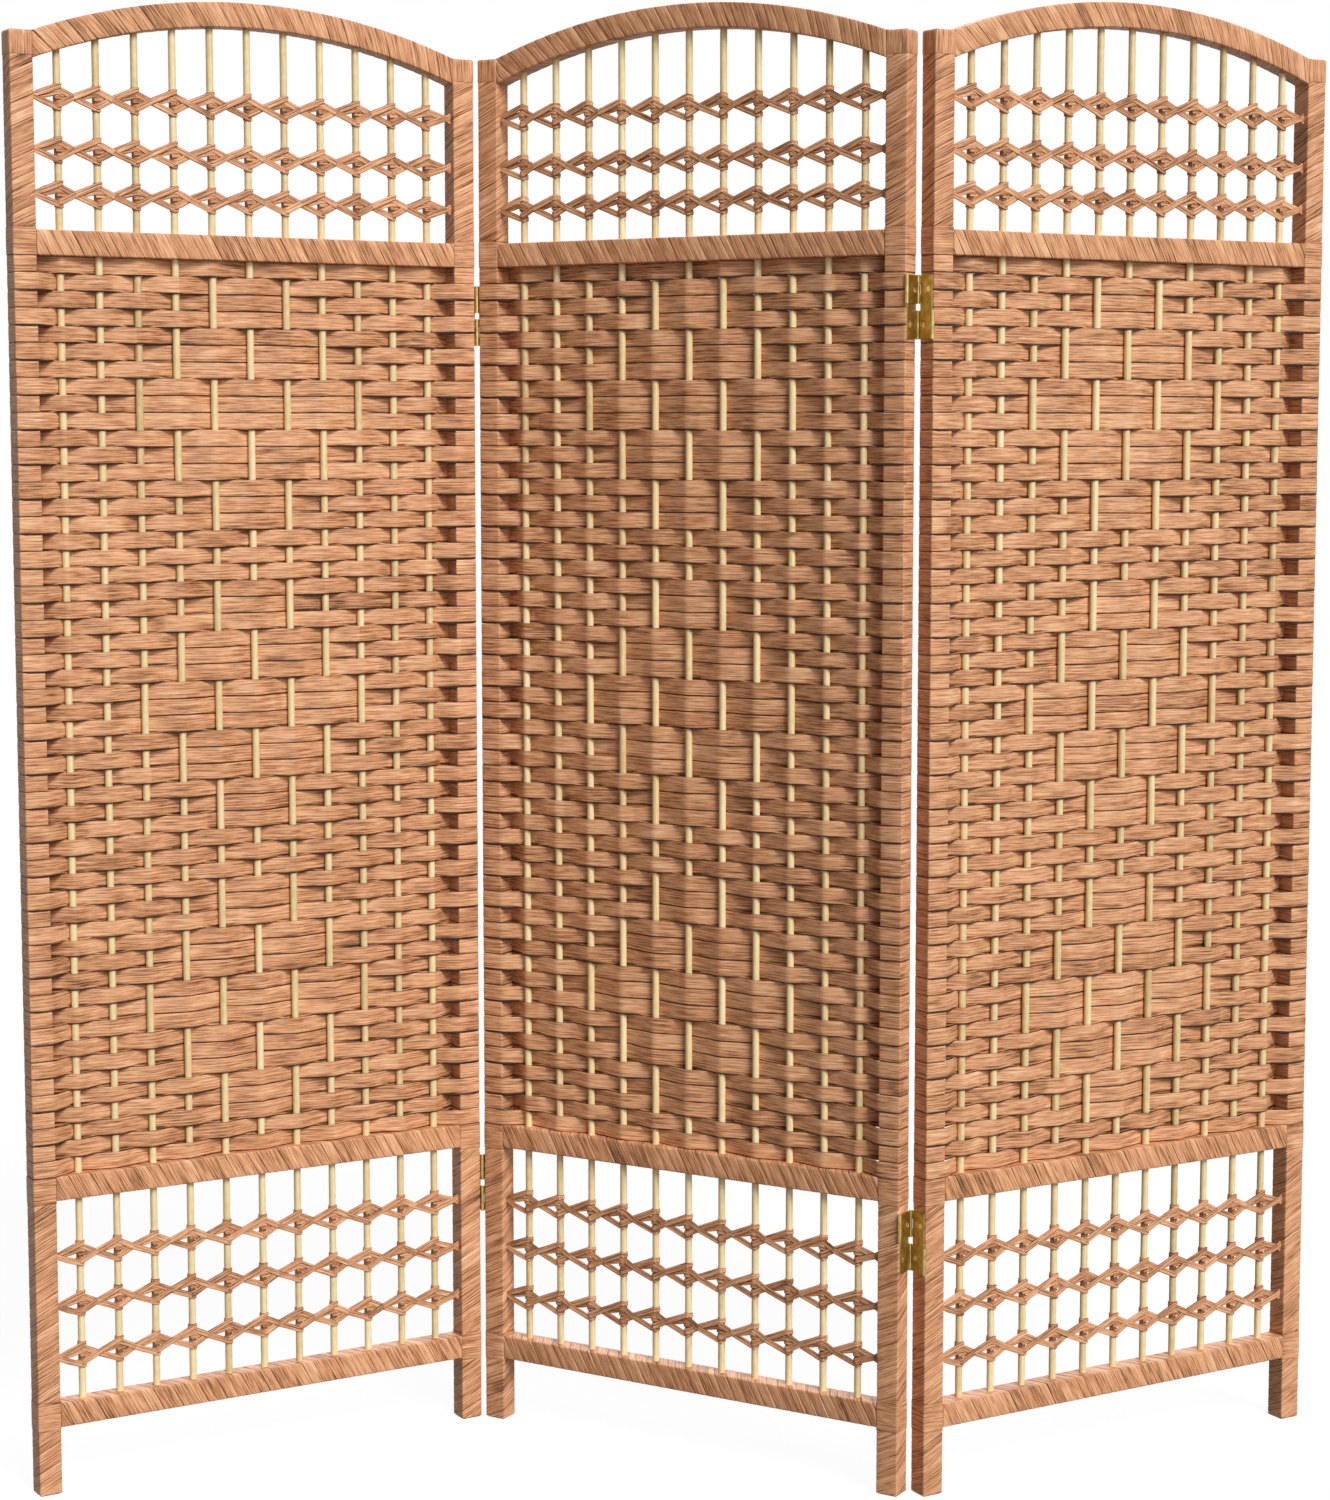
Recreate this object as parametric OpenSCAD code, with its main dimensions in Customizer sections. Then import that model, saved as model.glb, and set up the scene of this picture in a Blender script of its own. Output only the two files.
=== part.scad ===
// Folding screen of three panels. Each panel is a wooden frame wrapped in fibre, with rods from
// its arched top to its bottom rail, strips of fibre woven across the rods, and knotted
// strands across the open lattices above and below the weave. Two-way hinges join the panels.
//
// Millimetres, +Z up, floor at z = 0. The origin is under the centre of the middle panel.
// A panel's own frame has x along its width, y from its front face to its back face, and z up.

/* [Screen] */
// Width of one panel over its wrapped posts
panel_w = 406; // [390:1:430]
// Height of the posts
post_h = 1186; // [1150:1:1260]
// Angle of each panel from the line of the opened screen, in degrees
fold = 30.5; // [5:0.5:85]

/* [Frame] */
// Width of a post's core, across the panel
core_w = 16; // [15:0.5:20]
// Depth of the cores of the posts and rails
core_d = 15; // [14:0.5:22]
// Height of a rail's core
rail_core_h = 17; // [15:0.5:19]
// Thickness of the fibre wrapped round the frame
wrap_t = 1.5; // [1:0.1:2]
// How far the wrapping stands proud where a rail joins a post
joint_proud = 0.4; // [0.1:0.1:0.6]
// How far the proud wrapping runs past the rail
joint_lap = 4; // [2:0.5:8]
// Height of the arch's top above the posts
arch_rise = 33; // [25:1:45]
// Height of the bottom rail above the floor
foot_h = 56; // [40:1:70]
// Height of the lower cross rail above the floor
lower_rail_z = 246; // [242:1:252]
// Bare length of core below a post's wrapping
foot_bare = 1; // [0.5:0.1:3]

/* [Dowels] */
// Diameter of a dowel that joins a rail to a post
dowel_d = 6; // [5:0.5:7]
// Depth of a dowel in the post
dowel_in_post = 10; // [8:0.5:12]
// Depth of a dowel in the rail
dowel_in_rail = 15; // [10:0.5:16]
// Room beyond a dowel's end, and round a dowel
dowel_room = 0.05; // [0.02:0.01:0.1]

/* [Rods] */
// Number of rods in a panel
rod_count = 11; // [9:2:13]
// Diameter of a rod
rod_d = 6; // [5:0.1:6.6]
// Distance from a post to the middle of the rod next to it
rod_edge = 22; // [20:0.5:24]
// Depth of a rod's end in the arch and the bottom rail
rod_seat = 9; // [6:0.5:12]
// Room round a rod in its hole
rod_room = 0.1; // [0.05:0.01:0.2]

/* [Weave] */
// Number of woven rows
row_count = 54; // [36:18:72]
// Height from the weave's top to the tops of the posts
weave_drop = 175; // [174:1:185]
// Gap between one row and the next
row_gap = 0.5; // [0.3:0.1:1.5]
// Thickness of a woven strip
strip_t = 1.6; // [1:0.1:2]
// Gap between the strips or strands and what they pass
fibre_room = 0.2; // [0.1:0.05:0.3]

/* [Lattices] */
// Width of a knotted strand
strand_w = 5; // [3.5:0.1:6]
// Thickness of a knotted strand
strand_t = 1.2; // [0.8:0.1:1.3]
// Height from a knot's middle to the middle of its collars
knot_rise = 9; // [7:0.5:11]
// Height of a collar round a rod
collar_h = 5; // [4:0.1:6]
// Thickness of a collar
collar_t = 1.7; // [1.6:0.05:2]
// Distance from a rod to the crossing on its right
knot_lead = 12.5; // [8:0.5:20]
// Heights of the upper knots above the upper cross rail
upper_knots = [30, 65, 106.5]; // [15:0.5:110]
// Heights of the lower knots above the bottom rail
lower_knots = [37, 80.5, 122.5]; // [15:0.5:150]

/* [Hinges] */
// Gap between the ends of two panels that stand in line
hinge_gap = 3.2; // [3.1:0.1:4]
// How far a hinge axis stands out from a panel's face
axis_proud = 1; // [0.9:0.1:2]
// Height of a leaf
leaf_h = 50; // [44:1:60]
// Thickness of a leaf
leaf_t = 1; // [0.9:0.05:1.1]
// Thickness of a link
link_t = 0.8; // [0.7:0.05:0.9]
// Open height between a hinge's two halves
hinge_window = 6; // [4:0.5:10]
// Radius of a knuckle
knuckle_r = 1.6; // [1.5:0.05:1.7]
// Height of the middle knuckle
link_knuckle_h = 7.4; // [6:0.1:9]
// Gap between knuckles
knuckle_gap = 0.3; // [0.2:0.05:0.5]
// Radius of a pin
pin_r = 1; // [0.8:0.05:1.1]
// Room round a pin
pin_room = 0.05; // [0.03:0.01:0.08]
// Radius of a pin's head
pin_head_r = 1.5; // [1.3:0.05:1.6]
// Height of a pin's head
pin_head_h = 0.4; // [0.3:0.05:0.6]
// Distance from a panel's face to the edge of a leaf or link
leaf_edge = 1.3; // [1.2:0.1:3]
// Height from the upper hinge's middle to the tops of the posts
upper_hinge_drop = 216; // [206:1:246]
// Height of the lower hinge's middle above the floor
lower_hinge_z = 212.5; // [205:0.5:216]
// Radius of a screw's shank
screw_r = 1.3; // [1:0.05:1.6]
// Radius of a screw's head
screw_head_r = 2.4; // [2:0.05:2.6]
// Length of a screw under its leaf
screw_l = 12; // [8:0.5:13]
// How far a screw stands from the middle of its leaf, away from its own half's knuckles
screw_shift = 3; // [0:0.1:3.4]
// Room round a screw
screw_room = 0.05; // [0.03:0.01:0.1]
// Width and depth of the slot in a screw's head
screw_slot = 0.5; // [0.3:0.05:0.7]
// Radius of the hole in a link through which a screw is driven
driver_hole_r = 3; // [2.8:0.1:3.3]

/* [Hidden] */

LEFT = 0;
MIDDLE = 1;
RIGHT = 2;
round_fn = 32;
arch_fn = 360;
// How far a cut runs past a solid, or a tab into one
through = 1;

wood = "burlywood";
fibre = "peru";
fibre_dark = "sienna";
rod_colour = "wheat";
brass = "darkgoldenrod";

// Frame
post_w = core_w + 2 * wrap_t;
panel_d = core_d + 2 * wrap_t;
rail_h = rail_core_h + 2 * wrap_t;
upper_rail_z = post_h - weave_drop;
span = panel_w - 2 * post_w;
core_span = span + 2 * wrap_t;
arch_r = (span * span / 4 + arch_rise * arch_rise) / (2 * arch_rise);
arch_centre_z = post_h + arch_rise - arch_r;
function arch_z(r, x) = arch_centre_z + sqrt(r * r - pow(x - panel_w / 2, 2));
arch_end_z = arch_z(arch_r - rail_h, post_w);
// The arch's dowels lie level, above the middle of its sloping ends
arch_dowel_z = arch_z(arch_r - rail_h / 2, post_w + dowel_in_rail / 2);

// Rods
rod_y = panel_d / 2;
first_rod_x = post_w + rod_edge;
rod_pitch = (span - 2 * rod_edge) / (rod_count - 1);
rod_foot_z = foot_h + rail_h - rod_seat;
rod_hole_r = rod_d / 2 + rod_room;
function rod_x(i) = first_rod_x + i * rod_pitch;
function rod_top_z(i) = arch_z(arch_r - rail_h, rod_x(i)) + rod_seat;

// Weave. A strip's middle lies this far before or behind the rods' middle.
weave_z = lower_rail_z + rail_h;
row_pitch = (upper_rail_z - weave_z) / row_count;
strip_off = rod_d / 2 + fibre_room + strip_t / 2;
middle_rod = (rod_count - 1) / 2;
pattern_rows = 18;

// Lattices. Two strands cross in each row. The one that is low at the first rod is before the
// other.
collar_r = rod_d / 2 + fibre_room + collar_t;
inner_strand_y = rod_y - rod_d / 2 - 1.5 * fibre_room;
outer_strand_y = inner_strand_y - strand_t - fibre_room / 2;

// Hinges
half_h = (leaf_h - hinge_window) / 2;
half_z = hinge_window / 2;
half_mid = half_z + half_h / 2;
leaf_knuckle_h = (half_h - link_knuckle_h) / 2 - knuckle_gap;
link_knuckle_z = half_z + leaf_knuckle_h + knuckle_gap;
axis_x = hinge_gap / 2;
hinge_zs = [lower_hinge_z, post_h - upper_hinge_drop];

// Turn a point on the floor about the origin
function turned(p, a) = [p[0] * cos(a) - p[1] * sin(a), p[0] * sin(a) + p[1] * cos(a), 0];

// The panels stand in a zigzag. The left joint closes at the front faces and the right joint
// at the back faces, so the outer panels turn about those edges of the middle panel.
fold_axis = turned([panel_w / 2 + axis_x, panel_d / 2 + axis_proud], -fold);

module in_panel(k) {
    if (k == LEFT)
        translate(-fold_axis)
            rotate(fold)
                translate([-panel_w - axis_x, axis_proud, 0])
                    children();
    if (k == MIDDLE)
        rotate(-fold)
            translate([-panel_w / 2, -panel_d / 2, 0])
                children();
    if (k == RIGHT)
        translate(fold_axis)
            rotate(fold)
                translate([axis_x, -panel_d - axis_proud, 0])
                    children();
}

// At the end of a panel, with x out of the end face and z from a hinge's middle
module at_right_end(k) {
    for (z = hinge_zs)
        in_panel(k)
            translate([panel_w, 0, z])
                children();
}

module at_left_end(k) {
    for (z = hinge_zs)
        in_panel(k)
            translate([0, 0, z])
                mirror([1, 0, 0])
                    children();
}

// Frame

// Core of a straight rail without its holes
module straight_core(z) {
    translate([post_w - wrap_t, wrap_t, z + wrap_t])
        cube([core_span, core_d, rail_core_h]);
}

// Slice of the arch between two radii, from x0 to x1 and from y0 to y1
module arch_slice(r_out, r_in, x0, x1, y0, y1) {
    intersection() {
        translate([x0, y0, post_h - arch_r / 2])
            cube([x1 - x0, y1 - y0, arch_r]);
        translate([panel_w / 2, y1 + through, arch_centre_z])
            rotate([90, 0, 0])
                difference() {
                    cylinder(r = r_out, h = y1 - y0 + 2 * through, $fn = arch_fn);
                    translate([0, 0, -through])
                        cylinder(r = r_in, h = y1 - y0 + 4 * through, $fn = arch_fn);
                }
    }
}

module arch_core() {
    arch_slice(arch_r - wrap_t, arch_r - rail_h + wrap_t, post_w - wrap_t,
        panel_w - post_w + wrap_t, wrap_t, wrap_t + core_d);
}

dowel_zs = [
    foot_h + rail_h / 2, lower_rail_z + rail_h / 2, upper_rail_z + rail_h / 2, arch_dowel_z
];

// A dowel at each end of a rail, grown by room all over
module dowel_pair(z, room) {
    for (x = [post_w - wrap_t - dowel_in_post, panel_w - post_w + wrap_t - dowel_in_rail])
        translate([x - room, rod_y, z])
            rotate([0, 90, 0])
                cylinder(d = dowel_d + 2 * room, h = dowel_in_post + dowel_in_rail + 2 * room,
                    $fn = round_fn);
}

module dowels(room) {
    for (z = dowel_zs)
        dowel_pair(z, room);
}

// Shapes of the rods, grown by room, between two heights
module rod_holes(z0, z1) {
    for (i = [0 : rod_count - 1])
        translate([rod_x(i), rod_y, z0])
            cylinder(r = rod_hole_r, h = z1 - z0, $fn = round_fn);
}

module rod_top_holes() {
    for (i = [0 : rod_count - 1])
        translate([rod_x(i), rod_y, upper_rail_z])
            cylinder(r = rod_hole_r, h = rod_top_z(i) + rod_room - upper_rail_z, $fn = round_fn);
}

// Holes for the screws of the hinges on a panel's ends
module screw_holes(z, front_up) {
    for (s = [-1, 1])
        translate([-screw_l - screw_room, screw_y(s > 0, front_up), z + s * half_mid])
            rotate([0, 90, 0])
                cylinder(r = screw_r + screw_room, h = screw_l + 2 * screw_room + joint_proud,
                    $fn = round_fn);
}

module panel_screw_holes(k) {
    for (z = hinge_zs) {
        if (k != RIGHT)
            translate([panel_w, 0, 0])
                screw_holes(z, true);
        if (k != LEFT)
            mirror([1, 0, 0])
                screw_holes(z, false);
    }
}

module post(k, x) {
    color(wood)
        in_panel(k)
            difference() {
                translate([x, wrap_t, 0])
                    cube([core_w, core_d, post_h - wrap_t]);
                dowels(dowel_room);
                panel_screw_holes(k);
            }
}

module left_post(k) {
    post(k, wrap_t);
}

module right_post(k) {
    post(k, panel_w - wrap_t - core_w);
}

module arch_rail(k) {
    color(wood)
        in_panel(k)
            difference() {
                arch_core();
                dowels(dowel_room);
                rod_top_holes();
            }
}

// A cross rail, which the rods run through
module cross_rail(k, z) {
    color(wood)
        in_panel(k)
            difference() {
                straight_core(z);
                dowels(dowel_room);
                rod_holes(z, z + rail_h);
            }
}

module bottom_rail(k) {
    color(wood)
        in_panel(k)
            difference() {
                straight_core(foot_h);
                dowels(dowel_room);
                rod_holes(rod_foot_z - rod_room, foot_h + rail_h);
            }
}

module rail_dowels(k) {
    color(wood)
        in_panel(k)
            dowels(0);
}

// Fibre wrapped round a post whose left side is at x, proud where the rails join it
module post_wrap(x) {
    joints = [[foot_h, rail_h], [lower_rail_z, rail_h], [upper_rail_z, rail_h]];
    difference() {
        union() {
            translate([x, 0, foot_bare])
                cube([post_w, panel_d, post_h - foot_bare]);
            for (j = joints)
                translate([x - joint_proud, -joint_proud, j[0] - joint_lap])
                    cube([post_w + 2 * joint_proud, panel_d + 2 * joint_proud,
                        j[1] + 2 * joint_lap]);
            translate([x - joint_proud, -joint_proud, arch_end_z])
                cube([post_w + 2 * joint_proud, panel_d + 2 * joint_proud,
                    post_h - arch_end_z]);
        }
        translate([x + wrap_t, wrap_t, -through])
            cube([core_w, core_d, post_h - wrap_t + through]);
    }
}

module post_wraps(k) {
    color(fibre_dark)
        in_panel(k)
            difference() {
                union() {
                    post_wrap(0);
                    post_wrap(panel_w - post_w);
                }
                for (z = [foot_h, lower_rail_z, upper_rail_z])
                    straight_core(z);
                arch_core();
                panel_screw_holes(k);
            }
}

// Fibre wrapped round a straight rail
module straight_wrap(z) {
    difference() {
        translate([post_w + joint_proud, 0, z])
            cube([span - 2 * joint_proud, panel_d, rail_h]);
        straight_core(z);
    }
}

module rail_wraps(k) {
    color(fibre)
        in_panel(k)
            difference() {
                union() {
                    for (z = [foot_h, lower_rail_z, upper_rail_z])
                        straight_wrap(z);
                    difference() {
                        arch_slice(arch_r, arch_r - rail_h, post_w + joint_proud,
                            panel_w - post_w - joint_proud, 0, panel_d);
                        arch_core();
                    }
                }
                rod_holes(foot_h + rail_h / 2, lower_rail_z + rail_h / 2);
                rod_holes(lower_rail_z + rail_h / 2, upper_rail_z + rail_h / 2);
                rod_top_holes();
            }
}

module rods(k) {
    color(rod_colour)
        in_panel(k)
            for (i = [0 : rod_count - 1])
                translate([rod_x(i), rod_y, rod_foot_z])
                    cylinder(d = rod_d, h = rod_top_z(i) - rod_foot_z, $fn = round_fn);
}

// Weave

// Whether a strip passes behind a rod. Rows count from 0 at the top and repeat in the pattern's
// rows. The rods count by their distance from the middle rod. Plain weave at the sides gives
// way to longer floats that draw a row of diamonds down the middle.
function is_in(v, list) = len([for (w = list) if (w == v) 1]) > 0;
function shows_rod(row, i) =
    let (n = row % pattern_rows + 1, d = abs(i - middle_rod), odd = n % 2 == 1)
    d == 0 ? is_in(n, [1, 5, 6, 7, 11, 12, 13, 17]) :
    d == 1 ? is_in(n, [2, 3, 4, 8, 9, 10, 14, 15, 16, 18]) :
    d == 2 ? (odd || is_in(n, [6, 12])) && n != 9 :
    d == 3 ? !odd || n == 9 :
    (d % 2 == 0) == odd;

// Middle line of a row's strip, from post to post. A strip that passes behind the end rods
// comes from the posts' front faces, and one that passes before them from the back faces.
function strip_y(row, i) = rod_y + (shows_rod(row, i) ? strip_off : -strip_off);
function strip_end_y(row) = shows_rod(row, 0) ? strip_t / 2 + fibre_room
    : panel_d - strip_t / 2 - fibre_room;
function strip_line(row) = concat(
    [[post_w + fibre_room, strip_end_y(row)]],
    [for (i = [0 : rod_count - 1]) [rod_x(i), strip_y(row, i)]],
    [[panel_w - post_w - fibre_room, strip_end_y(row)]]);

// Outline of a band along a line, with its thickness measured across the line's own frame
function band(line, t) = concat(
    [for (p = line) [p[0], p[1] - t / 2]],
    [for (j = [len(line) - 1 : -1 : 0]) [line[j][0], line[j][1] + t / 2]]);

module weave(k) {
    color(fibre)
        in_panel(k)
            for (row = [0 : row_count - 1])
                translate([0, 0, weave_z + (row_count - 1 - row) * row_pitch + row_gap / 2])
                    linear_extrude(height = row_pitch - row_gap)
                        polygon(band(strip_line(row), strip_t));
}

// Lattices

// Height of a strand at a rod, where side is 1 or -1 for the strand that starts high or low
function strand_z(i, side) = side * (i % 2 == 0 ? 1 : -1) * knot_rise;
last = rod_count - 1;
right_crossing_x = rod_x(last) + min(knot_lead, panel_w - post_w - rod_x(last) - strand_w);
end_rise = (panel_w - post_w - right_crossing_x) * knot_rise / rod_pitch;
function strand_line(side) = concat(
    [[post_w + fibre_room, 0]],
    [for (i = [0 : last], m = [0, 1])
        m == 0 ? [rod_x(i), strand_z(i, side)]
        : [i < last ? rod_x(i) + knot_lead : right_crossing_x, 0]],
    [[panel_w - post_w - fibre_room, -sign(strand_z(last, side)) * end_rise]]);

// One strand with the collars that it turns round the rods
module strand(side, y) {
    difference() {
        union() {
            translate([0, y, 0])
                rotate([90, 0, 0])
                    linear_extrude(height = strand_t)
                        polygon(band(strand_line(side), strand_w));
            for (i = [0 : last])
                translate([rod_x(i), rod_y, strand_z(i, side) - collar_h / 2])
                    cylinder(r = collar_r, h = collar_h, $fn = round_fn);
        }
        for (i = [0 : last])
            translate([rod_x(i), rod_y, -knot_rise - collar_h])
                cylinder(r = rod_d / 2 + fibre_room, h = 2 * (knot_rise + collar_h),
                    $fn = round_fn);
    }
}

module knot_row(z) {
    translate([0, 0, z]) {
        strand(1, inner_strand_y);
        strand(-1, outer_strand_y);
    }
}

module upper_lattice(k) {
    color(fibre)
        in_panel(k)
            for (z = upper_knots)
                knot_row(upper_rail_z + rail_h + z);
}

module lower_lattice(k) {
    color(fibre)
        in_panel(k)
            for (z = lower_knots)
                knot_row(foot_h + rail_h + z);
}

// Hinges. A leaf on a panel's right end has its front knuckles in the upper half and its back
// knuckles in the lower half. A leaf on a left end has them the other way round. The upper link
// joins the first leaf's front to the second leaf's back, and the lower link the other two.

function axis_y(at_front) = at_front ? -axis_proud : panel_d + axis_proud;

// Solid knuckle on an axis, with the tab that joins it to a plate from x0 to x1
module knuckle(at_front, x0, x1, z, h) {
    y = axis_y(at_front);
    translate([axis_x, y, z])
        cylinder(r = knuckle_r, h = h, $fn = round_fn);
    translate([x0, at_front ? y : panel_d - leaf_edge - through, z])
        cube([x1 - x0, axis_proud + leaf_edge + through, h]);
}

module pin_hole(at_front, z, h) {
    translate([axis_x, axis_y(at_front), z - through])
        cylinder(r = pin_r + pin_room, h = h + 2 * through, $fn = round_fn);
}

// Place of a leaf's screw in its lower or upper half, away from the half's own knuckles
function screw_y(up, front_up) = panel_d / 2 + (up == front_up ? screw_shift : -screw_shift);

// Lowest height of the lower or upper half
function half_foot(up) = up ? half_z : -half_z - half_h;

module leaf(front_up) {
    difference() {
        union() {
            translate([0, leaf_edge, -leaf_h / 2])
                cube([leaf_t, panel_d - 2 * leaf_edge, leaf_h]);
            for (front = [true, false], top = [0, 1])
                knuckle(front, 0, leaf_t,
                    half_foot(front == front_up) + top * (half_h - leaf_knuckle_h),
                    leaf_knuckle_h);
        }
        for (front = [true, false])
            pin_hole(front, half_foot(front == front_up), half_h);
        for (s = [-1, 1])
            translate([0, screw_y(s > 0, front_up), s * half_mid])
                screw_head(screw_room);
    }
}

// A link, which lies on a leaf with its front knuckles up or down
module link(up, front_up) {
    foot = half_foot(up);
    x0 = axis_x - link_t / 2;
    difference() {
        union() {
            translate([x0, leaf_edge, foot])
                cube([link_t, panel_d - 2 * leaf_edge, half_h]);
            for (front = [true, false])
                knuckle(front, x0, x0 + link_t, foot + leaf_knuckle_h + knuckle_gap,
                    link_knuckle_h);
        }
        for (front = [true, false])
            pin_hole(front, foot, half_h);
        translate([x0 - through, screw_y(up, front_up), foot + half_h / 2])
            rotate([0, 90, 0])
                cylinder(r = driver_hole_r, h = link_t + 2 * through, $fn = round_fn);
    }
}

module pin(at_front, up) {
    translate([axis_x, axis_y(at_front), half_foot(up)]) {
        cylinder(r = pin_r, h = half_h, $fn = round_fn);
        for (z = [-pin_head_h, half_h])
            translate([0, 0, z])
                cylinder(r = pin_head_r, h = pin_head_h, $fn = round_fn);
    }
}

module pins(front_up) {
    pin(true, front_up);
    pin(false, !front_up);
}

// Head of a screw, flush with the leaf's outer face
module screw_head(room) {
    rotate([0, 90, 0])
        cylinder(r1 = screw_r + room, r2 = screw_head_r + room, h = leaf_t, $fn = round_fn);
}

module screw() {
    difference() {
        union() {
            screw_head(0);
            translate([-screw_l, 0, 0])
                rotate([0, 90, 0])
                    cylinder(r = screw_r, h = screw_l + leaf_t / 2, $fn = round_fn);
        }
        translate([leaf_t - screw_slot, -screw_head_r - through, -screw_slot / 2])
            cube([screw_slot + through, 2 * screw_head_r + 2 * through, screw_slot]);
    }
}

module screws(front_up) {
    for (s = [-1, 1])
        translate([0, screw_y(s > 0, front_up), s * half_mid])
            screw();
}

module left_hinge_outer_leaves() {
    color(brass) at_right_end(LEFT) leaf(true);
}

module left_hinge_inner_leaves() {
    color(brass) at_left_end(MIDDLE) leaf(false);
}

module left_hinge_top_links() {
    color(brass) at_left_end(MIDDLE) link(true, false);
}

module left_hinge_bottom_links() {
    color(brass) at_right_end(LEFT) link(false, true);
}

module left_hinge_outer_pins() {
    color(brass) at_right_end(LEFT) pins(true);
}

module left_hinge_inner_pins() {
    color(brass) at_left_end(MIDDLE) pins(false);
}

module left_hinge_outer_screws() {
    color(brass) at_right_end(LEFT) screws(true);
}

module left_hinge_inner_screws() {
    color(brass) at_left_end(MIDDLE) screws(false);
}

module right_hinge_inner_leaves() {
    color(brass) at_right_end(MIDDLE) leaf(true);
}

module right_hinge_outer_leaves() {
    color(brass) at_left_end(RIGHT) leaf(false);
}

module right_hinge_top_links() {
    color(brass) at_right_end(MIDDLE) link(true, true);
}

module right_hinge_bottom_links() {
    color(brass) at_left_end(RIGHT) link(false, false);
}

module right_hinge_inner_pins() {
    color(brass) at_right_end(MIDDLE) pins(true);
}

module right_hinge_outer_pins() {
    color(brass) at_left_end(RIGHT) pins(false);
}

module right_hinge_inner_screws() {
    color(brass) at_right_end(MIDDLE) screws(true);
}

module right_hinge_outer_screws() {
    color(brass) at_left_end(RIGHT) screws(false);
}

left_post(LEFT);  // left_left_post
right_post(LEFT);  // left_right_post
arch_rail(LEFT);  // left_arch_rail
cross_rail(LEFT, upper_rail_z);  // left_upper_rail
cross_rail(LEFT, lower_rail_z);  // left_lower_rail
bottom_rail(LEFT);  // left_bottom_rail
rail_dowels(LEFT);  // left_rail_dowels
post_wraps(LEFT);  // left_post_wraps
rail_wraps(LEFT);  // left_rail_wraps
rods(LEFT);  // left_rods
weave(LEFT);  // left_weave
upper_lattice(LEFT);  // left_upper_lattice
lower_lattice(LEFT);  // left_lower_lattice
left_post(MIDDLE);  // middle_left_post
right_post(MIDDLE);  // middle_right_post
arch_rail(MIDDLE);  // middle_arch_rail
cross_rail(MIDDLE, upper_rail_z);  // middle_upper_rail
cross_rail(MIDDLE, lower_rail_z);  // middle_lower_rail
bottom_rail(MIDDLE);  // middle_bottom_rail
rail_dowels(MIDDLE);  // middle_rail_dowels
post_wraps(MIDDLE);  // middle_post_wraps
rail_wraps(MIDDLE);  // middle_rail_wraps
rods(MIDDLE);  // middle_rods
weave(MIDDLE);  // middle_weave
upper_lattice(MIDDLE);  // middle_upper_lattice
lower_lattice(MIDDLE);  // middle_lower_lattice
left_post(RIGHT);  // right_left_post
right_post(RIGHT);  // right_right_post
arch_rail(RIGHT);  // right_arch_rail
cross_rail(RIGHT, upper_rail_z);  // right_upper_rail
cross_rail(RIGHT, lower_rail_z);  // right_lower_rail
bottom_rail(RIGHT);  // right_bottom_rail
rail_dowels(RIGHT);  // right_rail_dowels
post_wraps(RIGHT);  // right_post_wraps
rail_wraps(RIGHT);  // right_rail_wraps
rods(RIGHT);  // right_rods
weave(RIGHT);  // right_weave
upper_lattice(RIGHT);  // right_upper_lattice
lower_lattice(RIGHT);  // right_lower_lattice
left_hinge_outer_leaves();
left_hinge_inner_leaves();
left_hinge_top_links();
left_hinge_bottom_links();
left_hinge_outer_pins();
left_hinge_inner_pins();
left_hinge_outer_screws();
left_hinge_inner_screws();
right_hinge_inner_leaves();
right_hinge_outer_leaves();
right_hinge_top_links();
right_hinge_bottom_links();
right_hinge_inner_pins();
right_hinge_outer_pins();
right_hinge_inner_screws();
right_hinge_outer_screws();
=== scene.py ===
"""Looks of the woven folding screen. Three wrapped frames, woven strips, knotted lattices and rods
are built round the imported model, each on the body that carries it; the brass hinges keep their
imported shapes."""

import math

import bpy
import numpy as np
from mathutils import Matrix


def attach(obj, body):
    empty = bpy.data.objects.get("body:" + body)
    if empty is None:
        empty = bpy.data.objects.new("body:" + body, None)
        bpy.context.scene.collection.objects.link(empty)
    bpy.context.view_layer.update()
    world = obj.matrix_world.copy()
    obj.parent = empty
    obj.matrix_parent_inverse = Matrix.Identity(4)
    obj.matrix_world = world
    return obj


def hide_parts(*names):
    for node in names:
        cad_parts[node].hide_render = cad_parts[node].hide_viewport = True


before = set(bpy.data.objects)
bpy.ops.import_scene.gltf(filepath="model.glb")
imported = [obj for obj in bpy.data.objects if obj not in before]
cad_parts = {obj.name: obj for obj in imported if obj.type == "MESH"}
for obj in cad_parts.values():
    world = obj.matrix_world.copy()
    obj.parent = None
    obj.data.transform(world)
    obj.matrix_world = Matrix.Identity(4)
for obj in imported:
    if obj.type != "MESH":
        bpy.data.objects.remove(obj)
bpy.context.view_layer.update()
rng = np.random.default_rng(7)

# Sizes, in millimetres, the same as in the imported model
FOLD = math.radians(30.5)
PANEL_W, POST_H = 406.0, 1186.0
POST_W, PANEL_D, RAIL_H = 19.0, 18.0, 20.0
FOOT_H, LOWER_RAIL_Z, UPPER_RAIL_Z = 56.0, 246.0, 1011.0
FOOT_BARE, JOINT_PROUD = 1.0, 0.4
AXIS_X, AXIS_PROUD = 1.6, 1.0
ARCH_RISE = 33.0
SPAN = PANEL_W - 2 * POST_W
ARCH_R = (SPAN * SPAN / 4 + ARCH_RISE * ARCH_RISE) / (2 * ARCH_RISE)
ARCH_Z = POST_H + ARCH_RISE - ARCH_R
RODS, ROD_R, ROD_SEAT = 11, 3.0, 9.0
FIRST_ROD, ROD_PITCH, ROD_Y = 41.0, 32.4, 9.0
ROWS = 54
WEAVE_Z = LOWER_RAIL_Z + RAIL_H
ROW_PITCH = (UPPER_RAIL_Z - WEAVE_Z) / ROWS
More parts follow.
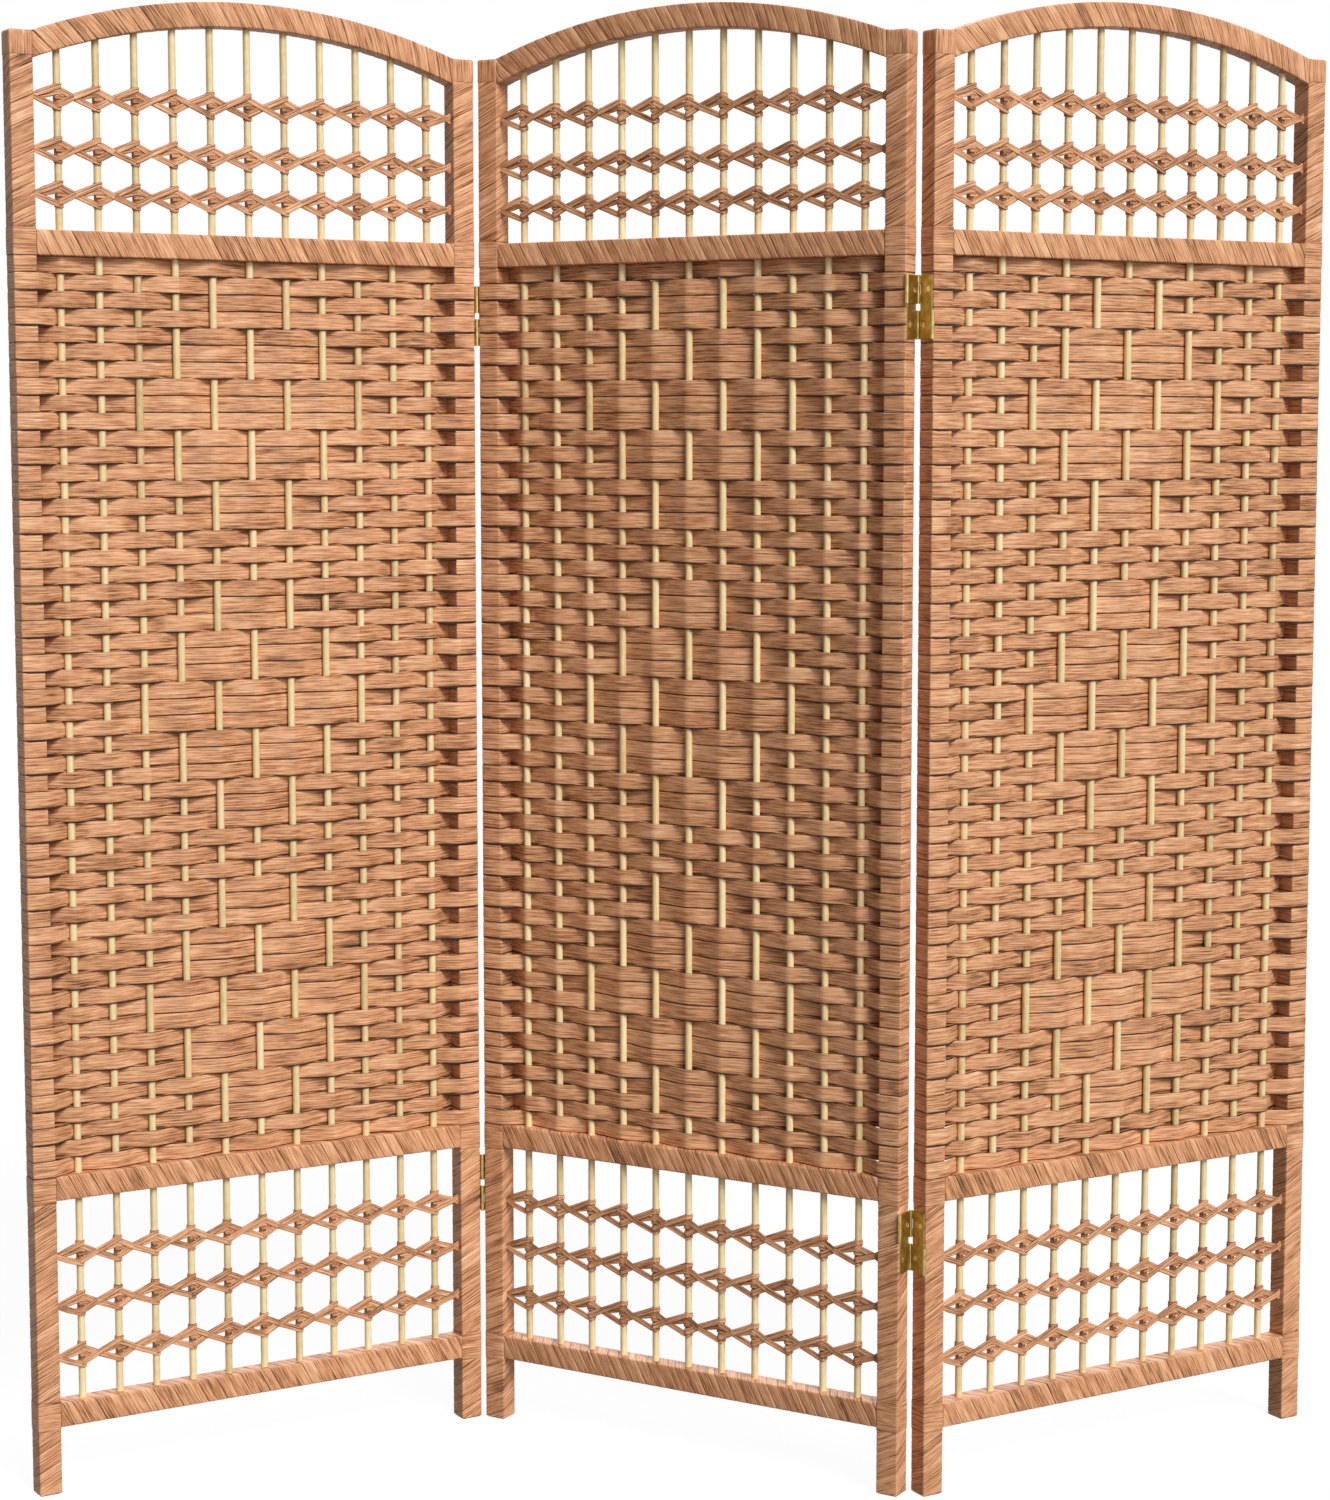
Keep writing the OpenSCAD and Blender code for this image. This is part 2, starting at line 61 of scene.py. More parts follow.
UPPER_KNOTS = [UPPER_RAIL_Z + RAIL_H + z for z in (30, 65, 106.5)]
LOWER_KNOTS = [FOOT_H + RAIL_H + z for z in (37, 80.5, 122.5)]

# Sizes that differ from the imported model, to look as in the photo: how far the wrapping at a
# joint laps past the rail, how much higher the wrapping of a post's top starts, and how much
# lower the upper knots hang
JOINT_LAP, BLOCK_RISE, UPPER_SAG = 2.0, 2.0, 1.6

# Millimetres in a centimetre, which is the unit of the fibre's UVs
CM = 10

PANELS = ("left", "middle", "right")


def turned(x, y, a):
    return x * math.cos(a) - y * math.sin(a), x * math.sin(a) + y * math.cos(a)


def arch_z(r, x):
    return ARCH_Z + math.sqrt(r * r - (x - PANEL_W / 2) ** 2)


def rod_x(i):
    return FIRST_ROD + i * ROD_PITCH


# A panel's own frame has x along its width, y from front to back and z up, in millimetres
def to_world(panel, p):
    fx, fy = turned(PANEL_W / 2 + AXIS_X, PANEL_D / 2 + AXIS_PROUD, -FOLD)
    shift = {
        "left": (-PANEL_W - AXIS_X, AXIS_PROUD, FOLD, -fx, -fy),
        "middle": (-PANEL_W / 2, -PANEL_D / 2, -FOLD, 0.0, 0.0),
        "right": (AXIS_X, -PANEL_D - AXIS_PROUD, FOLD, fx, fy),
    }[panel]
    x, y = p[:, 0] + shift[0], p[:, 1] + shift[1]
    c, s = math.cos(shift[2]), math.sin(shift[2])
    return np.stack([x * c - y * s + shift[3], x * s + y * c + shift[4], p[:, 2]], 1) / 1000


class Piece:
    """Grids of points that become one mesh, with UVs in centimetres of fibre and a tone."""

    def __init__(self):
        self.points, self.uvs, self.tones, self.quads = [], [], [], []
        self.count = 0

    def grid(self, p, uv, tone, centre, closed=False):
        """Adds a grid. Its faces look away from the centre, and closed joins its last column
        to its first."""
        rows, cols = p.shape[:2]
        index = np.arange(rows * cols).reshape(rows, cols)
        if closed:
            index = np.concatenate([index, index[:, :1]], axis=1)
        quads = np.stack([index[:-1, :-1], index[:-1, 1:], index[1:, 1:], index[1:, :-1]], -1)
        quads = quads.reshape(-1, 4)
        flat = p.reshape(-1, 3)
        a, b, c, d = (flat[quads[:, j]] for j in range(4))
        normal = np.cross(c - a, d - b)
        keep = np.linalg.norm(normal, axis=1) > 1e-4
        out = np.broadcast_to(centre, p.shape).reshape(-1, 3)[quads[:, 0]]
        if np.sum(normal * ((a + c) / 2 - out)) < 0:
            quads = quads[:, ::-1]
        self.quads.append(quads[keep] + self.count)
        self.points.append(flat)
        self.uvs.append(np.broadcast_to(uv, (rows, cols, 2)).reshape(-1, 2))
        self.tones.append(np.broadcast_to(tone, (rows, cols)).reshape(-1))
        self.count += rows * cols

    def build(self, name, panel, slot, material, *nodes):
        points = to_world(panel, np.concatenate(self.points))
        uvs = np.concatenate(self.uvs)
        quads = np.concatenate(self.quads)
        mesh = bpy.data.meshes.new(name)
        mesh.vertices.add(len(points))
        mesh.vertices.foreach_set("co", points.astype(np.float32).ravel())
        mesh.loops.add(quads.size)
        mesh.loops.foreach_set("vertex_index", quads.astype(np.int32).ravel())
        mesh.polygons.add(len(quads))
        mesh.polygons.foreach_set("loop_start", np.arange(0, quads.size, 4, dtype=np.int32))
        mesh.polygons.foreach_set("loop_total", np.full(len(quads), 4, dtype=np.int32))
        mesh.update(calc_edges=True)
        layer = mesh.uv_layers.new(name="fibre")
        layer.data.foreach_set("uv", uvs[quads.ravel()].astype(np.float32).ravel())
        tone = mesh.attributes.new("tone", "FLOAT", "POINT")
        tone.data.foreach_set("value", np.concatenate(self.tones).astype(np.float32))
        mesh.polygons.foreach_set("use_smooth", np.ones(len(quads), dtype=bool))
        mesh.materials.append(material)
        mesh.validate()
        piece = bpy.data.objects.new(name, mesh)
        bpy.context.scene.collection.objects.link(piece)
        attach(piece, panel + "_panel")
        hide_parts(*[panel + "_" + n for n in nodes])
        return piece


def wander(length, step, spread, middle=0.5):
    """A tone that drifts along a length: a function of the place along it."""
    knots = np.arange(0, length + 2 * step, step)
    knots = knots + rng.uniform(-0.3, 0.3, len(knots)) * step
    values = np.clip(rng.normal(middle, spread, len(knots)), 0, 1)
    return lambda t: np.interp(t, knots, values)


def shuffle():
    """A place of its own in the fibre pattern for each strip."""
    return rng.uniform(0, 40, 2)


# Bars and the fibre wound round them


class Ring:
    """A rounded rectangle that starts at its lower left corner and runs up its front."""

    def __init__(self, w, d, r):
        self.points, self.normals, places = [], [], []
        corners = [(r, r, 180), (w - r, r, 270), (w - r, d - r, 0), (r, d - r, 90)]
        for x, y, start in corners:
            for turn in (0, 22.5, 45, 67.5, 90):
                a = math.radians(start + turn)
                self.points.append((x + r * math.cos(a), y + r * math.sin(a)))
                self.normals.append((math.cos(a), math.sin(a)))
        self.points.append(self.points[0])
        self.normals.append(self.normals[0])
        self.points, self.normals = np.array(self.points), np.array(self.normals)
        steps = np.linalg.norm(np.diff(self.points, axis=0), axis=1)
        self.places = np.concatenate([[0], np.cumsum(steps)])
        self.length = self.places[-1]
        # Three more places on each flat side, which starts at its corner's fifth point, keep the
        # twist of the bands smooth
        flats = [(self.places[k], self.places[k + 1]) for k in (4, 9, 14, 19)]
        extra = [a + (b - a) * f for a, b in flats for f in (0.25, 0.5, 0.75)]
        self.stops = np.sort(np.concatenate([self.places[:-1], extra]))

    def at(self, t, out):
        """The point at a place t along the ring, moved out from it."""
        t = np.mod(t, self.length)
        p = [np.interp(t, self.places, self.points[:, j]) for j in (0, 1)]
        n = [np.interp(t, self.places, self.normals[:, j]) for j in (0, 1)]
        size = np.hypot(n[0], n[1])
        return p[0] + n[0] / size * out, p[1] + n[1] / size * out


# Each bar gives the point at s along it, a and b in its ring's own directions


class Upright:
    """A post, with its left side at x."""

    def __init__(self, x):
        self.x = x

    def at(self, s, a, b):
        return np.stack([self.x + a, b, s + 0 * a], -1)


class Level:
    """A straight rail, with its foot at z and its left end at x."""

    def __init__(self, x, z):
        self.x, self.z = x, z

    def at(self, s, a, b):
        return np.stack([self.x + s + 0 * a, a, self.z + b], -1)


# How far the arch's winding is carried past the posts before it is cut, and the gap it leaves
ARCH_OVER, ARCH_GAP = 5, 0.05


class Arch:
    """The arched rail. Distances along it are taken at its middle radius, and its ends are cut
    upright where they meet the posts."""

    def __init__(self):
        self.r = ARCH_R - RAIL_H / 2
        self.half = math.asin(SPAN / 2 / self.r) + ARCH_OVER / self.r
        self.length = 2 * self.half * self.r

    def at(self, s, a, b):
        angle = s / self.r - self.half
        r = ARCH_R - RAIL_H + b
        x = np.clip(r * np.sin(angle), -SPAN / 2 + ARCH_GAP, SPAN / 2 - ARCH_GAP)
        return np.stack([PANEL_W / 2 + x, a + 0 * s, ARCH_Z + np.sqrt(r * r - x * x)], -1)


# How far the windings climb along a post and a rail for each millimetre round it, and about how
# wide their bands are along it
POST_SLOPE, RAIL_SLOPE = 0.47, 0.53
POST_BAND, RAIL_BAND = 9, 9.6
# The share of a band's width by which its edge may stray
EDGE_STRAY = 0.22
# How far along a band its tone and the painted shade of its seams change, and how strongly
TONE_STEP, TONE_SPREAD = 47, 0.09
SEAM_STEP, SEAM_SPREAD, SEAM_MIDDLE = 31, 0.35, 0.6
# Across one band of winding: place, height above the bar, and tone, darker at the band's edges as
# painted shade in the seams between bands
BAND_F = np.array([0.0, 0.035, 0.11, 0.5, 0.89, 0.965, 1.0])
BAND_OUT = np.array([-0.32, -0.12, 0.04, 0.08, 0.04, -0.08, -0.32])
BAND_SEAM_SHADE = np.array([-0.5, -0.4, 0.03, 0.0, 0.0, -0.04, -0.45])


def wind(piece, bar, ring, s0, s1, width, slope):
    """Winds bands of fibre round a bar from s0 to s1."""
    starts = max(1, round(abs(slope) * ring.length / width))
    lead = abs(slope) * ring.length
    edges = (np.arange(starts) + rng.uniform(-EDGE_STRAY, EDGE_STRAY, starts)) / starts * lead
    edges = np.append(edges, edges[0] + lead)
    stretch = math.sqrt(1 + slope * slope)
    for q in range(starts):
        foot, width = edges[q], edges[q + 1] - edges[q]
        ends = [-(foot + width) / slope, (s1 - s0 - foot) / slope]
        t0, t1 = min(ends), max(ends)
        turns = np.arange(math.floor(t0 / ring.length), math.ceil(t1 / ring.length) + 1)
        t = (turns[:, None] * ring.length + ring.stops[None, :]).ravel()
        t = np.concatenate([[t0], t[(t > t0) & (t < t1)], [t1]])[:, None]
        f = BAND_F[None, :]
        s = np.clip(s0 + foot + f * width + slope * t, s0, s1)
        a, b = ring.at(t + 0 * f, BAND_OUT[None, :] + 0 * t)
        p = bar.at(s, a, b)
        middle = np.array([ring.points[:, 0].mean(), ring.points[:, 1].mean()])
        centre = bar.at(s, middle[0] + 0 * a, middle[1] + 0 * b)
        place = shuffle()
        uv = np.stack([t * stretch / CM + place[0] + 0 * f,
                       f * width / stretch / CM + place[1] + 0 * t], -1)
        drift = wander(t1 - t0, TONE_STEP, TONE_SPREAD)
        seam_shade = wander(t1 - t0, SEAM_STEP, SEAM_SPREAD, SEAM_MIDDLE)
        # The band's edges are darkened: painted shade in the seams between bands, which grows and
        # fades along the band
        tone = drift(t - t0) + seam_shade(t - t0) * BAND_SEAM_SHADE[None, :]
        piece.grid(p, uv, tone, centre)


# Up a flat band: place and height above the post
ROW_F = np.array([0.0, 0.02, 0.07, 0.22, 0.5, 0.78, 0.93, 0.98, 1.0])
ROW_OUT = np.array([-0.6, -0.35, -0.1, 0.02, 0.08, 0.02, -0.1, -0.35, -0.6])
# Darker tone at a band's top and bottom: painted shade in the seams between rows of bands
ROW_SEAM_SHADE = -0.45 * (np.abs(ROW_F - 0.5) > 0.47)
# How strongly the bands that cover a joint are rounded and darkened with painted shade at their
# seams
JOINT_RELIEF = 0.25


def flat_bands(piece, bar, ring, heights, proud=0.0, relief=1.0):
    """Flat bands round a post, one between each height and the next."""
    t = np.append(ring.stops, ring.length)[:, None]
    for z0, z1 in zip(heights[:-1], heights[1:]):
        z = z0 + ROW_F[None, :] * (z1 - z0)
        a, b = ring.at(t + 0 * z, proud + relief * ROW_OUT[None, :] + 0 * t)
        p = bar.at(z + 0 * t, a, b)
        centre = bar.at(z + 0 * t, POST_W / 2 + 0 * a, PANEL_D / 2 + 0 * b)
        place = shuffle()
        uv = np.stack([t / CM + place[0] + 0 * z, (z - z0) / CM + place[1] + 0 * t], -1)
        # Painted shade darkens the top and bottom of each band
        tone = wander(ring.length, 17, 0.06)(t) + relief * ROW_SEAM_SHADE
        piece.grid(p, uv, tone + 0 * z, centre)


def top_block(piece, bar, ring, z0):
    """The wrapping of a post's top, whose fibres run over the top from front to back."""
    t = np.append(ring.stops, ring.length)[:, None]
    # Its heights up to the rounded rim, and how far out it stands at each
    z = np.array([z0, z0 + 0.3, z0 + 0.9, z0 + 8, z0 + 16, POST_H - 2.2, POST_H - 1.0,
                  POST_H - 0.3, POST_H])[None, :]
    out = np.array([-0.1, 0.2, 0.4, 0.4, 0.4, 0.4, 0.1, -0.6, -1.8])[None, :]
    a, b = ring.at(t + 0 * z, out + 0 * t)
    p = bar.at(z + 0 * t, a, b)
    centre = bar.at(z + 0 * t, POST_W / 2 + 0 * a, PANEL_D / 2 + 0 * b)
    place = shuffle()
    uv = np.stack([(z - z0) / CM + place[0] + 0 * t, t / CM + place[1] + 0 * z], -1)
    piece.grid(p, uv, wander(ring.length, 4, 0.03)(t) + 0 * z, centre)
    # The top, from the rim in to the middle
    rim_a, rim_b = a[:, -1], b[:, -1]
    k = np.array([1.0, 0.6, 0.25, 0.0])[None, :]
    a = POST_W / 2 + (rim_a[:, None] - POST_W / 2) * k
    b = PANEL_D / 2 + (rim_b[:, None] - PANEL_D / 2) * k
    p = bar.at(POST_H + 0 * a, a, b)
    uv = np.stack([b / CM + place[0], a / CM + place[1]], -1)
    below = p - np.array([0, 0, 5.0])
    piece.grid(p, uv, np.full(a.shape, 0.55), below)


def post_wraps(panel, material):
    piece = Piece()
    ring = Ring(POST_W, PANEL_D, 1.0)
    block = arch_z(ARCH_R - RAIL_H, POST_W) + BLOCK_RISE
    joints = [(FOOT_H - JOINT_LAP, FOOT_H + RAIL_H + JOINT_LAP),
              (LOWER_RAIL_Z - JOINT_LAP, WEAVE_Z),
              (UPPER_RAIL_Z, UPPER_RAIL_Z + RAIL_H + JOINT_LAP)]
    rows = [WEAVE_Z + row * ROW_PITCH for row in range(ROWS + 1)]
    for x in (0, PANEL_W - POST_W):
        bar = Upright(x)
        wind(piece, bar, ring, FOOT_BARE, joints[0][0], POST_BAND, POST_SLOPE)
        for z0, z1 in joints:
            flat_bands(piece, bar, ring, [z0, z1], JOINT_PROUD, JOINT_RELIEF)
        wind(piece, bar, ring, joints[0][1], joints[1][0], POST_BAND, POST_SLOPE)
        flat_bands(piece, bar, ring, rows)
        wind(piece, bar, ring, joints[2][1], block, POST_BAND, POST_SLOPE)
        top_block(piece, bar, ring, block)
    return piece.build(panel + "_post_winding", panel, "wrap_fibre", material, "post_wraps")


def rail_wraps(panel, material):
    piece = Piece()
    ring = Ring(PANEL_D, RAIL_H, 1.2)
    left = POST_W + JOINT_PROUD
    for z in (FOOT_H, LOWER_RAIL_Z, UPPER_RAIL_Z):
        wind(piece, Level(left, z), ring, 0, SPAN - 2 * JOINT_PROUD, RAIL_BAND, RAIL_SLOPE)
    arch = Arch()
    wind(piece, arch, ring, 0, arch.length, RAIL_BAND, RAIL_SLOPE)
    return piece.build(panel + "_rail_winding", panel, "wrap_fibre", material, "rail_wraps")


# Weave


PATTERN_ROWS = 18


def shows_rod(row, i):
    """Whether the strip of a row, counted from the top, passes behind a rod. The pattern repeats,
    and at each rod it depends on how far that is from the middle rod."""
    n, d = row % PATTERN_ROWS + 1, abs(i - (RODS - 1) // 2)
    odd = n % 2 == 1
    if d == 0:
        return n in (1, 5, 6, 7, 11, 12, 13, 17)
    if d == 1:
        return n in (2, 3, 4, 8, 9, 10, 14, 15, 16, 18)
    if d == 2:
        return (odd or n in (6, 12)) and n != 9
    if d == 3:
        return not odd or n == 9
    return (d % 2 == 0) == odd


# A strip's thickness, and how far its middle stands from the rods' middle where it passes them
STRIP_T = 1.3
STRIP_OFFSET = ROD_R + 0.5 + STRIP_T * 0.6
# How far a strip's middle lies under a post's face where it ends, how much deeper its very end
# goes in, and how far its bends spread to either side
END_DEPTH, END_SINK, BEND = 0.02, 0.9, 2.4
# Up the front of a strip's section: place up its height, place through it in half thicknesses
# with the front as minus, and tone, which is darker at the top and bottom edges as painted shade
# in the seams between rows. The back is the same turned round
FRONT = [(0.0, 0.0, -0.7), (0.01, -0.6, -0.7), (0.048, -0.86, -0.65), (0.085, -0.98, -0.08),
         (0.14, -1.03, -0.04), (0.2, -1.08, 0.0), (0.5, -1.14, 0.02), (0.75, -1.1, 0.0),
         (0.86, -1.06, 0.02), (0.92, -1.04, 0.02), (0.97, -0.92, -0.06), (0.992, -0.6, -0.65)]
SECTION = np.array(FRONT + [(1 - a, -o, t) for a, o, t in FRONT])
# Places round a rod and in from a panel's sides where a strip's shape is worked out
AROUND = np.array([-13, -9, -6, -4.2, -3.4, -2.6, -1.3, 0, 1.3, 2.6, 3.4, 4.2, 6, 9, 13])
AT_POST = np.array([0.4, 1.2, 2.4, 4.8, 10, 15, 17, 18.2, 19.4, 20.6, 21.8, 24, 30])
# The hidden edges of crossing strips reach past their rows, so no light comes between them: how
# far a top edge sinks where the strip above stands before it, how far a lower edge hangs down
# where the strip below stands before it, and the same at the back, near a rod and away from it
DIP, LIP = 1.0, 3.4
REACH, REACH_AWAY = 0.4, 1.2
# How high up a strip its lower edge's drop fades out
LOW_F = 0.22
# The painted shade in the groove on a strip above one that stands before it: place, half its height,
# and tone
GROOVE_F, GROOVE_HALF, GROOVE_SHADE = 0.14, 0.05, 0.55
# The lines between rows: how often they waver, how much, and how far in from a post they start
LINE_STEP, LINE_SPREAD, LINE_START = 42, 0.32, 10
# Each strip is joined from this many lengths of fibre, each with its own tone
LENGTHS = 8


def strip_path(row, x):
    """How far back a row's strip is at each x. It runs straight from rod to rod and bends
    within a few millimetres at each. At a post it ends on the face away from the side on which
    it passes the next rod."""
    front = [not shows_rod(row, i) for i in range(RODS)]
    ends = [PANEL_D - END_DEPTH if f else END_DEPTH for f in (front[0], front[-1])]
    sunk = [e + (END_SINK if e < ROD_Y else -END_SINK) for e in ends]
    x_turns = [0.2, 2.4, POST_W + 0.4] + [rod_x(i) for i in range(RODS)]
    x_turns = np.array(x_turns + [PANEL_W - POST_W - 0.4, PANEL_W - 2.4, PANEL_W - 0.2])
    at_rods = [ROD_Y - STRIP_OFFSET if f else ROD_Y + STRIP_OFFSET for f in front]
    y_turns = np.array([sunk[0], ends[0], ends[0]] + at_rods + [ends[1], ends[1], sunk[1]])
    bend = np.linspace(-BEND, BEND, 9)
    return np.mean([np.interp(x + b, x_turns, y_turns) for b in bend], axis=0)


def weave(panel, material):
    piece = Piece()
    places = np.array([rod_x(i) for i in range(RODS)])
    near_rods = (places[:, None] + AROUND).ravel()
    between = places[:-1] + ROD_PITCH / 2
    x = np.concatenate([near_rods, AT_POST, PANEL_W - AT_POST, between])
    x = np.unique(np.round(x, 3))
    away = np.abs(x[:, None] - places).min(axis=1)
    reach = REACH + REACH_AWAY * np.clip((away - 2.6) / 1.4, 0, 1)[:, None]
    paths = [strip_path(row, x) for row in range(ROWS)]
    across, out, edge = SECTION[None, :, 0], SECTION[None, :, 1], SECTION[None, :, 2]
    front = np.where(out < 0, 1.0, np.where(out > 0, 0.0, 0.5))
    high = np.clip((across - 0.5) / 0.5, 0, 1)
    low = np.clip((LOW_F - across) / 0.2, 0, 1)
    # Painted shade in the groove where a strip stands before the one above it
    groove_shade = GROOVE_SHADE * np.clip(1 - np.abs(across - GROOVE_F) / GROOVE_HALF, 0, 1)
    inside = np.clip((np.minimum(x, PANEL_W - x) - POST_W) / LINE_START, 0, 1)
    lines = [(wander(PANEL_W, LINE_STEP, LINE_SPREAD)(x) - 0.5) * inside for _ in range(ROWS + 1)]
    lines[0] = lines[-1] = 0 * x
    for row, y in enumerate(paths):
        above = y - paths[row - 1] if row else 0 * y
        below = y - paths[row + 1] if row < ROWS - 1 else 0 * y
        # How far the strip above stands before or behind this one, and then the strip below
        under_front, under_back = (np.clip((v - 0.8) / 7.5, 0, 1)[:, None] for v in (above, -above))
        over_front, over_back = (np.clip((v - 0.6) / 8, 0, 1.15)[:, None] for v in (below, -below))
        under = under_front * front + under_back * (1 - front)
        over = over_back * (1 - front) + over_front * front
        dip = DIP * under * high
        lip = LIP * over_front ** 0.6
        drop = (lip * front + reach * over_back * (1 - front)) * low
        z0 = WEAVE_Z + (ROWS - 1 - row) * ROW_PITCH - 0.05
        upper, lower = lines[row][:, None], lines[row + 1][:, None]
        z = z0 + across * (ROW_PITCH + 0.1 + upper - lower) + lower - dip - drop
        x2, y2 = x[:, None], y[:, None]
        p = np.stack([x2 + 0 * z, y2 + out * STRIP_T / 2 + 0 * z, z], -1)
        centre = np.stack([x2 + 0 * z, y2 + 0 * z, z0 + ROW_PITCH / 2 + 0 * z], -1)
        length = np.concatenate([[0], np.cumsum(np.hypot(np.diff(x), np.diff(y)))])[:, None]
        place = shuffle()
        uv = np.stack([length / CM + place[0] + 0 * z, (z - z0) / CM + place[1]], -1)
        cuts = np.sort(rng.uniform(0, PANEL_W, LENGTHS - 1))
        levels = np.clip(rng.normal(0.5, 0.045, LENGTHS), 0.3, 0.7)
        tone = levels[np.searchsorted(cuts, x)][:, None] + rng.normal(0, 0.03)
        # Painted shade: darker seams at the section's edges, the lowest edge where it hangs behind
        # or before the strip below, and the groove above a strip that stands before this one
        painted_shade = edge - 0.35 * over * (low > 0.9) - np.clip(2.5 * over, 0, 1) * groove_shade
        piece.grid(p, uv, tone + painted_shade, centre, closed=True)
    return piece.build(panel + "_woven_strips", panel, "weave_fibre", material, "weave")


# Rods


def around(sides):
    """The angles of a round section's points."""
    return np.linspace(0, 2 * math.pi, sides, endpoint=False)[None, :]


def rods(panel, material):
    piece = Piece()
    angle = around(20)
    foot = FOOT_H + RAIL_H - ROD_SEAT
    for i in range(RODS):
        top = arch_z(ARCH_R - RAIL_H, rod_x(i)) + ROD_SEAT
        z = np.linspace(foot, top, 60)[:, None]
        # Slightly uneven in thickness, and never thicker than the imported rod
        r = ROD_R - 0.05 + 0.04 * np.sin(z / 37 + rng.uniform(0, 6)) + 0 * angle
        p = np.stack([rod_x(i) + r * np.cos(angle), ROD_Y + r * np.sin(angle),
                      z + 0 * angle], -1)
        centre = np.stack([rod_x(i) + 0 * r, ROD_Y + 0 * r, z + 0 * r], -1)
        place = shuffle()
        uv = np.stack([z / CM + place[0] + 0 * angle, angle * ROD_R / CM + place[1] + 0 * z], -1)
        piece.grid(p, uv, wander(top - foot, 160, 0.12)(z - foot) + 0 * angle, centre, closed=True)
    return piece.build(panel + "_rods_and_grain", panel, "rod_wood", material, "rods")


# Knots


# How far right of each rod its two strands cross
KNOT_LEAD = 12.5
# How far the turn behind a rod keeps from the rod's middle, and a strand's thickness
TURN_R, STRAND_T = 3.3, 0.9
# How far before the right post a row's last crossing is
LAST_CROSSING = 4.6
# Towards the front
FACE = (0, -1, 0)
# Round a strand's section, which has a crease: place across its width and through its thickness
CREASE = -0.07
STRAND = np.array([(-0.5, 0), (-0.47, 0.4), (-0.4, 0.5), (-0.13, 0.52), (CREASE, 0.34),
                   (-0.01, 0.54), (0.4, 0.5), (0.47, 0.4), (0.5, 0), (0.47, -0.4), (0.4, -0.5),
                   (-0.01, -0.5), (CREASE, -0.34), (-0.13, -0.5), (-0.4, -0.5), (-0.47, -0.4)])
# Darker at a strand's sides and along its crease: painted shade at its edges and in its fold
STRAND_SHADE = 0.35 * ((np.abs(STRAND[:, 0]) > 0.45) | (STRAND[:, 0] == CREASE))[None, :]


def ribbon(piece, points, width, thick, face, tone, steps=5):
    """A flat strand along a smooth line through points. Its width and the direction that its
    face is turned to are one value or one for each point."""
    points = np.array(points, float)
    n = len(points)
    face = np.broadcast_to(np.array(face, float), points.shape)
    width = np.broadcast_to(np.array(width, float), (n,))
    u = np.linspace(0, n - 1, (n - 1) * steps + 1)
    k = np.clip(u.astype(int), 0, n - 2)
    f = (u - k)[:, None]
    before = points[np.clip(k - 1, 0, n - 1)]
    a, b = points[k], points[k + 1]
    after = points[np.clip(k + 2, 0, n - 1)]
    line = 0.5 * (2 * a + (b - before) * f + (2 * before - 5 * a + 4 * b - after) * f ** 2
                  + (3 * a - before - 3 * b + after) * f ** 3)
    face = face[k] * (1 - f) + face[k + 1] * f
    width = (width[k] * (1 - f[:, 0]) + width[k + 1] * f[:, 0])[:, None, None]
    along = np.gradient(line, axis=0)
    along /= np.linalg.norm(along, axis=1)[:, None]
    side = np.cross(along, face)
    side /= np.linalg.norm(side, axis=1)[:, None]
    up = np.cross(side, along)
    p = (line[:, None] + side[:, None] * STRAND[None, :, :1] * width
         + up[:, None] * STRAND[None, :, 1:] * thick)
    run = np.concatenate([[0], np.cumsum(np.linalg.norm(np.diff(line, axis=0), axis=1))])
    place = shuffle()
    uv = np.stack([run[:, None] / CM + place[0] + 0 * p[:, :, 0],
                   STRAND[None, :, 0] * width[:, :, 0] / CM + place[1]], -1)
    piece.grid(p, uv, tone - STRAND_SHADE + 0 * run[:, None], line[:, None, :], closed=True)


def knot(piece, x, z, x0, x1, top, outer, first):
    """One strand's turn round a rod, above or below: over the rod's front from the crossing at
    x0, round its right side and back, and on over its front to the crossing at x1."""
    # The strand that climbs to the right lies on the other pass at the rod
    one, two = (4.5, 5.35) if top == 1 else (5.35, 4.5)
    y = 4.0 if outer else 5.15
    rise = 8.6 + rng.normal(0, 0.2)
    slope = (rise - 0.3) / (x - x0)
    points = [(x0, 5.6 if first else y, z + 0.3 * top)]
    points += [(x - d, y * d / (x - x0) + one * (1 - d / (x - x0)), z + top * (rise - slope * d))
               for d in (13, 7)]
    points += [(x - 2.0, one, z + top * (rise - 0.7)), (x + 1.6, one + 0.15, z + top * (rise + 0.2))]
    face = [FACE] * 5
    # Round the right side and the back
    for step in range(8):
        a = math.radians(-40 + 34 * step)
        points.append((x + TURN_R * math.cos(a), ROD_Y + TURN_R * math.sin(a),
                       z + top * (rise - 0.1 - 0.34 * step)))
        face.append((math.cos(a), math.sin(a), 0))
    if top == 1:
        points += [(x - 0.6, two, z + 5.9), (x + 4, two, z + 4.1)]
    else:
        points += [(x - 0.4, two, z - 5.9), (x + 4, two + 0.1, z - 4.2)]
    points.append((x1, y, z - 0.25 * top))
    face += [FACE] * 3
    width = [3.4 if first else 5.2, 5.0, 5.0, 4.8, 4.3] + [3.4] * 8
    width += [4.9, 5.0, 5.2] if top == 1 else [5.6, 5.4, 5.2]
    tone = np.clip(rng.normal(0.5, 0.06), 0.3, 0.7)
    ribbon(piece, points, width, STRAND_T, face, tone)
    collar(piece, x, z + top * (rise - 0.1), 2.0 if top == 1 else 1.7, tone)


